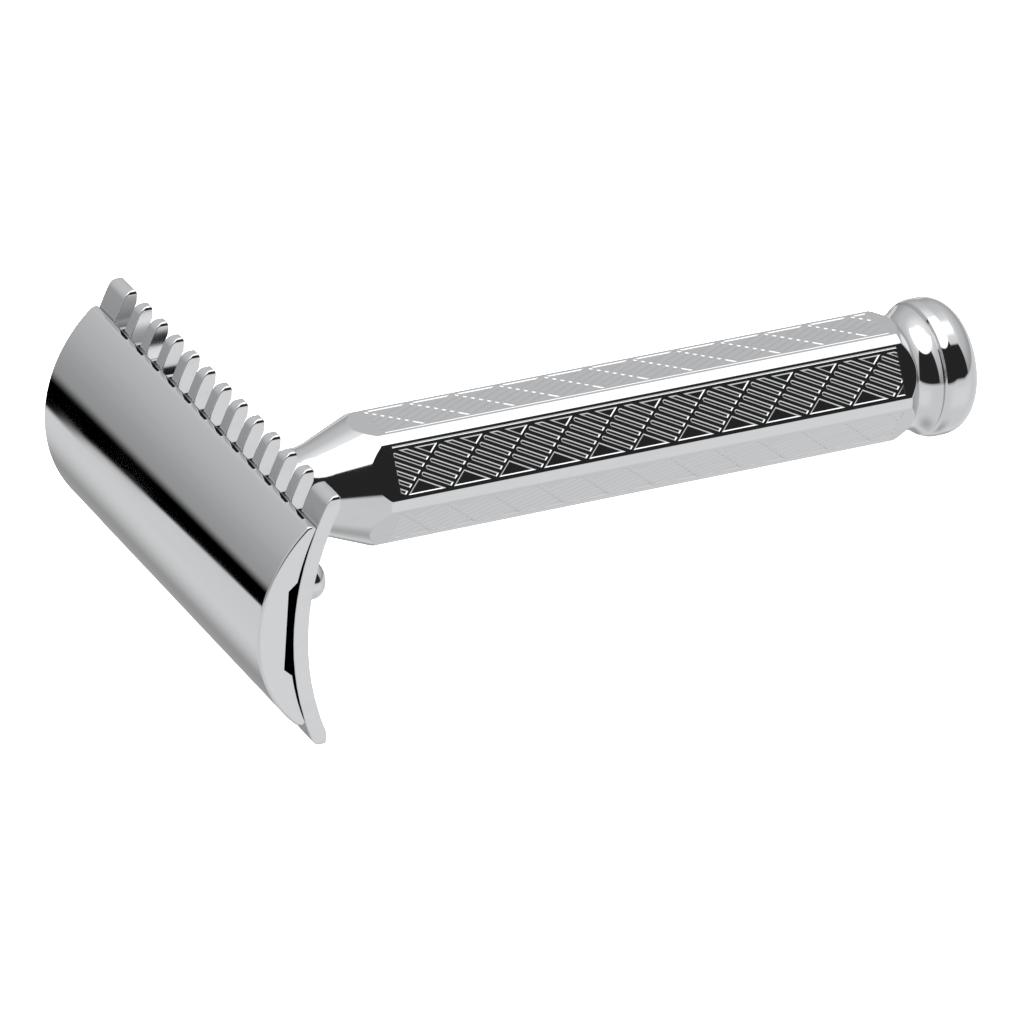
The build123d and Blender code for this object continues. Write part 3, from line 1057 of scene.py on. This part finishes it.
def metal(name, tint, roughness, haze, line_scale, line_strength, shade):
    """A polished metal: haze that varies from place to place, fine marks of the mop, and worn edges.

    line_scale draws the mop's marks out into lines. shade is the share of its brightness that a mark or a
    worn edge keeps.
    """
    material = bpy.data.materials.new(name)
    material.use_nodes = True
    nodes = Nodes(material.node_tree)
    surface = material.node_tree.nodes["Principled BSDF"]
    surface.inputs["Metallic"].default_value = 1.0

    clouds = nodes.noise(nodes.stretched((1, 1, 1)), CLOUD_SCALE, 3)
    mop_lines = nodes.noise(nodes.stretched(line_scale), MOP_LINE_SCALE, 4)
    # handling dulls the edges: there the normal of a softened edge leaves the true one
    softened = nodes.add("Bevel", samples=4)
    softened.inputs["Radius"].default_value = WEAR_WIDTH * MM
    actual = nodes.add("NewGeometry")
    agreement = nodes.add("VectorMath", operation="DOT_PRODUCT")
    nodes.join(softened.outputs[0], agreement.inputs[0])
    nodes.join(actual.outputs["Normal"], agreement.inputs[1])
    edge = nodes.ramp(agreement.outputs["Value"], 0.9, 0.995, 1.0, 0.0)
    wear = nodes.math("MULTIPLY", edge, nodes.ramp(clouds, 0.3, 0.6, 0.3, 1.0))

    rough = nodes.ramp(clouds, 0.35, 0.75, roughness, roughness + haze)
    marks = nodes.ramp(mop_lines, 0.3, 0.75, 0, haze * 0.6)
    dulled = nodes.math("MULTIPLY", wear, WEAR_ROUGHNESS)
    nodes.join(nodes.math("ADD", nodes.math("ADD", rough, marks), dulled), surface.inputs["Roughness"])

    darkened = nodes.math("MAXIMUM", nodes.ramp(mop_lines, 0.45, 0.8), wear)
    tone = nodes.add("Mix", data_type="RGBA")
    share, clean, marked = (tone.inputs[i] for i in (0, 6, 7))
    clean.default_value = tint
    marked.default_value = tuple(c * shade for c in tint[:3]) + (1,)
    nodes.join(darkened, share)
    nodes.join(tone.outputs[2], surface.inputs["Base Color"])

    bump = nodes.add("Bump")
    bump.inputs["Strength"].default_value = line_strength
    bump.inputs["Distance"].default_value = MOP_LINE_DEPTH * MM
    nodes.join(mop_lines, bump.inputs["Height"])
    nodes.join(bump.outputs[0], surface.inputs["Normal"])
    return material


def make_materials():
    """One metal for each kind of piece. Its marks are drawn out where their scale in X, Y or Z is small."""
    return {
        "cap": metal("chrome_cap", CHROME_TINT, 0.02, 0.025, (1, 0.05, 1), 0.02, 0.98),
        "guard": metal("chrome_guard", CHROME_TINT, 0.04, 0.05, (0.2, 1, 1), 0.05, 0.96),
        "grip": metal("chrome_grip", CHROME_TINT, 0.03, 0.04, (0.08, 1, 1), 0.03, 0.97),
        "knob": metal("chrome_knob", CHROME_TINT, 0.03, 0.03, (1, 0.2, 0.2), 0.03, 0.97),
        "pin": metal("chrome_pin", CHROME_TINT, 0.05, 0.05, (0.1, 1, 1), 0.05, 0.95),
        "stud": metal("steel_stud", STEEL_TINT, 0.12, 0.1, (1, 0.3, 0.3), 0.1, 0.85),
        "insert": metal("brass_insert", BRASS_TINT, 0.16, 0.1, (1, 0.3, 0.3), 0.1, 0.85),
    }


# ---- studio
FLOOR_REACH = 1.6  # metres
FLOOR_TINT = (0.86, 0.86, 0.86, 1)
SOFT_BOX_SIDE = 1.2
SOFT_BOX_PLACE = (0.1, 0.1, 0.9)
SOFT_BOX_WATTS = 11

# Brightness of the studio's parts, where 1 is the white of the picture
CEILING_BOX = 2.3
CEILING_GLOW = 0.55
WALL_FOOT = 0.45
WALL_TOP = 0.86
FLAG_BLACK = 0.03
# painted shade: the floor straight below is darkened to stand for the razor's own shadow on it
FLOOR_SHADOW_BELOW = 0.62
FLOOR_AROUND = 0.98
FLOOR_SHADED = 0.4
FLOOR_NEAR = 1.12

# View of the photograph: three angles in degrees, the point aimed at in mm from the middle of the CAD
# box, the distance in metres and the focal length in mm
VIEW_BEARING = -27.393
VIEW_HEIGHT = 31.371
VIEW_ROLL = -0.714
VIEW_AIM = (-11.56, -12.15, -0.68)
VIEW_DISTANCE = 0.7944
VIEW_LENS = 315.6


def make_floor():
    """A plain white table top, wide enough for every view. It glows, so that no shadow shows on it."""
    mesh = bpy.data.meshes.new("floor")
    r = FLOOR_REACH
    mesh.from_pydata([(-r, -r, 0), (r, -r, 0), (r, r, 0), (-r, r, 0)], [], [(0, 1, 2, 3)])
    floor = placed("floor", mesh)
    material = bpy.data.materials.new("floor_white")
    material.use_nodes = True
    surface = material.node_tree.nodes["Principled BSDF"]
    surface.inputs["Base Color"].default_value = FLOOR_TINT
    surface.inputs["Roughness"].default_value = 0.9
    surface.inputs["Specular IOR Level"].default_value = 0.0
    surface.inputs["Emission Color"].default_value = (1, 1, 1, 1)
    surface.inputs["Emission Strength"].default_value = 1.0
    mesh.materials.append(material)
    floor.visible_glossy = False


def make_world():
    """The studio by direction: a white ceiling box, grey walls, a black flag and a pale floor.

    The razor mirrors it. The camera itself sees plain white. Heights and bearings are in degrees.
    """
    world = bpy.data.worlds.new("studio")
    bpy.context.scene.world = world
    world.use_nodes = True
    tree = world.node_tree
    nodes = Nodes(tree)
    spot = nodes.add("TexCoord")
    parts = nodes.add("SeparateXYZ")
    tree.links.new(spot.outputs["Generated"], parts.inputs[0])
    x, y, z = parts.outputs
    rise = nodes.math("ARCSINE", nodes.math("MINIMUM", nodes.math("MAXIMUM", z, -1.0), 1.0))
    height = nodes.math("MULTIPLY", rise, degrees(1))
    bearing = nodes.math("MULTIPLY", nodes.math("ARCTAN2", y, x), degrees(1))

    def window(value, low, high, soft):
        """1 between low and high and 0 outside, with soft ends."""
        rise = nodes.ramp(value, low - soft, low + soft)
        fall = nodes.ramp(value, high - soft, high + soft, 1.0, 0.0)
        return nodes.math("MULTIPLY", rise, fall)

    def blend(base, tone, mask):
        """base where mask is 0 and tone where it is 1."""
        difference = nodes.math("SUBTRACT", tone, base)
        return nodes.math("ADD", base, nodes.math("MULTIPLY", difference, mask))

    # upper half: grey wall that grows lighter towards the ceiling
    wall = nodes.ramp(height, -12, 36, WALL_FOOT, WALL_TOP)
    wall = nodes.math("ADD", wall, nodes.ramp(height, 33, 68, 0, CEILING_GLOW))
    # white box overhead, which comes down less far on the far side
    far_side = window(bearing, 55, 178, 14)
    box_edge = blend(55.0, 67.0, far_side)
    over_box = nodes.math("SUBTRACT", height, box_edge)
    upper = blend(wall, CEILING_BOX, nodes.ramp(over_box, -2.5, 2.5))
    # black flag on the camera's side, up to the ceiling box
    flag = nodes.math("MULTIPLY", window(bearing, -128, -40, 2), window(height, -1, 54, 1))
    upper = blend(upper, FLAG_BLACK, flag)

    # lower half: pale floor, darker straight below, where painted shade stands for the razor's own shadow
    # on the floor, and darker on the far side, lighter on the near side
    lower = nodes.ramp(height, -90, -60, FLOOR_SHADOW_BELOW, FLOOR_AROUND)
    shade = nodes.math("MULTIPLY", window(bearing, 45, 104, 14), window(height, -58, -14, 10))
    lower = blend(lower, FLOOR_SHADED, shade)
    near = nodes.math("MULTIPLY", window(bearing, -90, -30, 20), window(height, -45, -12, 10))
    lower = blend(lower, FLOOR_NEAR, near)

    # the far wall reaches lower than the others
    foot = blend(-3.5, -12.0, window(bearing, 92, 165, 8))
    over_foot = nodes.math("SUBTRACT", height, foot)
    tone = blend(lower, upper, nodes.ramp(over_foot, -2.5, 2.5))
    # dark gap at the foot of the far wall, which climbs steeply with the bearing
    from_middle = nodes.math("SUBTRACT", bearing, 125.4)
    slant = nodes.math("SUBTRACT", height, nodes.math("MULTIPLY", from_middle, 1.45))
    below = nodes.ramp(slant, -17.9, -17.1)
    gap = nodes.math("MULTIPLY", below, nodes.ramp(slant, -13.0, -8.5, 1.0, 0.0))
    gap = nodes.math("MULTIPLY", gap, window(bearing, 108, 148, 3))
    gap = nodes.math("MULTIPLY", gap, nodes.ramp(height, -25, -22))
    tone = blend(tone, 0.0, gap)

    seen = nodes.add("LightPath")
    tone = blend(tone, 1.0, seen.outputs["Is Camera Ray"])
    background = tree.nodes["Background"]
    grey = nodes.add("CombineColor")
    for target in grey.inputs[:3]:
        tree.links.new(tone, target)
    tree.links.new(grey.outputs[0], background.inputs["Color"])


def make_light():
    """A broad soft box above the table, which the razor doesn't mirror."""
    light = bpy.data.lights.new("soft_box", "AREA")
    light.shape = "RECTANGLE"
    light.size = SOFT_BOX_SIDE
    light.size_y = SOFT_BOX_SIDE
    light.energy = SOFT_BOX_WATTS
    lamp = placed("soft_box", light)
    lamp.location = SOFT_BOX_PLACE
    lamp.visible_glossy = False
    lamp.visible_camera = False


def make_camera():
    """The view of the photograph: from the front, turned towards the head and raised."""
    bearing = radians(VIEW_BEARING)
    height = radians(VIEW_HEIGHT)
    back = Vector((sin(bearing) * cos(height), -cos(bearing) * cos(height), sin(height)))
    low, high = cad_box
    aim = (low + high) / 2 + Vector(VIEW_AIM) * MM
    camera = bpy.data.cameras.new("camera")
    camera.lens = VIEW_LENS
    camera.sensor_width = 36
    camera.clip_start = 0.05
    camera.clip_end = 10
    view = placed("camera", camera)
    view.rotation_mode = "QUATERNION"
    turn = (-back).to_track_quat("-Z", "Y")
    view.rotation_quaternion = turn @ Matrix.Rotation(radians(VIEW_ROLL), 3, "Z").to_quaternion()
    view.location = aim + back * VIEW_DISTANCE
    bpy.context.scene.camera = view


# ---- the whole scene
materials = make_materials()
make_cap(materials["cap"])
make_guard(materials["guard"])
make_grip(materials["grip"])
make_knob(materials["knob"])
make_stud(materials["stud"])
make_insert(materials["insert"])
make_pin(materials["pin"], "pin_domed_left", PIN_Y, "locating_pin_left")
make_pin(materials["pin"], "pin_domed_right", -PIN_Y, "locating_pin_right")
make_floor()
make_world()
make_light()
make_camera()
bpy.context.scene.view_settings.view_transform = "Standard"
